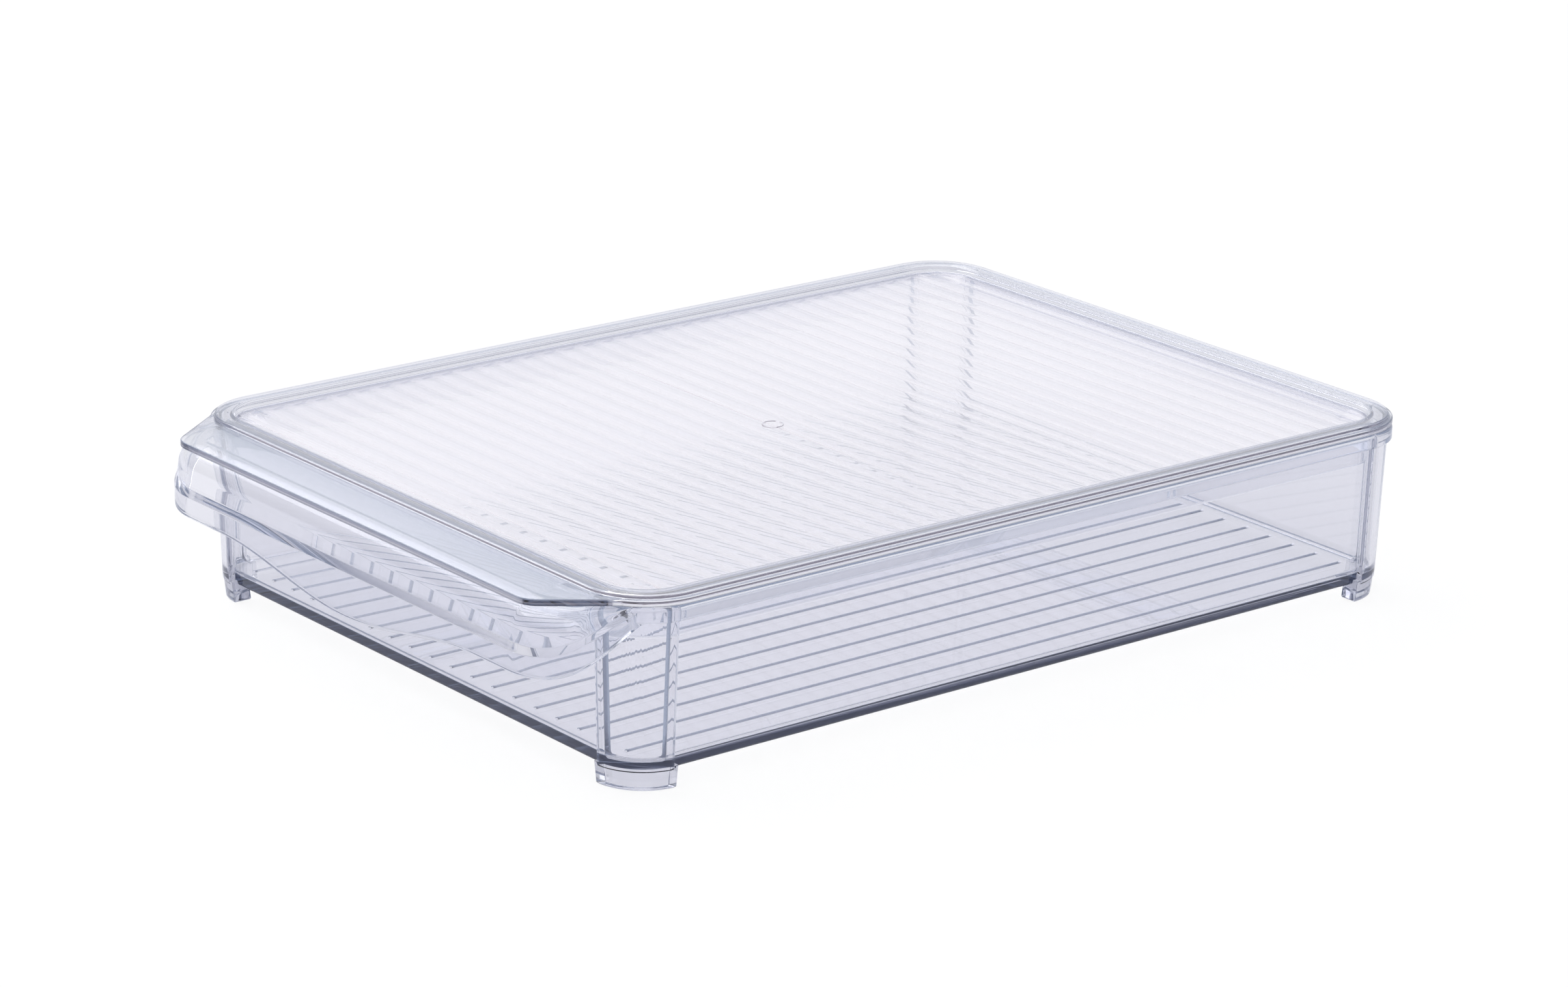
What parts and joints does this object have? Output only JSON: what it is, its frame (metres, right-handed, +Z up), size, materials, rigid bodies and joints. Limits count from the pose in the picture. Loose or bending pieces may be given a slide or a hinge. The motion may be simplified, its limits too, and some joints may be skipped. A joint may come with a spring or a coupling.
{
  "type": "refrigerator bin",
  "caption": "Shallow clear refrigerator bin: moulded tray with corner feet and a turned-down front handle, and a lift-off lid with a striped panel and a front lip.",
  "frame": {"origin": "on the ground, at the middle of the whole bin's footprint", "axes": "+Z up; +Y along the length, away from the handle; +X across the width, to the right when the handle faces the viewer"},
  "size_m": [0.263, 0.3774, 0.0683],
  "materials": {
    "tray_plastic": "polished clear styrene, faint violet-grey tint",
    "lid_plastic": "polished clear styrene with frosted cross strips on the panel"
  },
  "bodies": {
    "tray": {"tray": "tray_plastic"},
    "lid": {"lid": "lid_plastic"}
  },
  "joints": [
    {"name": "lid_lift", "type": "slide", "parent": "tray", "child": "lid", "axis": [0, 0, 1], "range_m": [0, 0.06]}
  ]
}
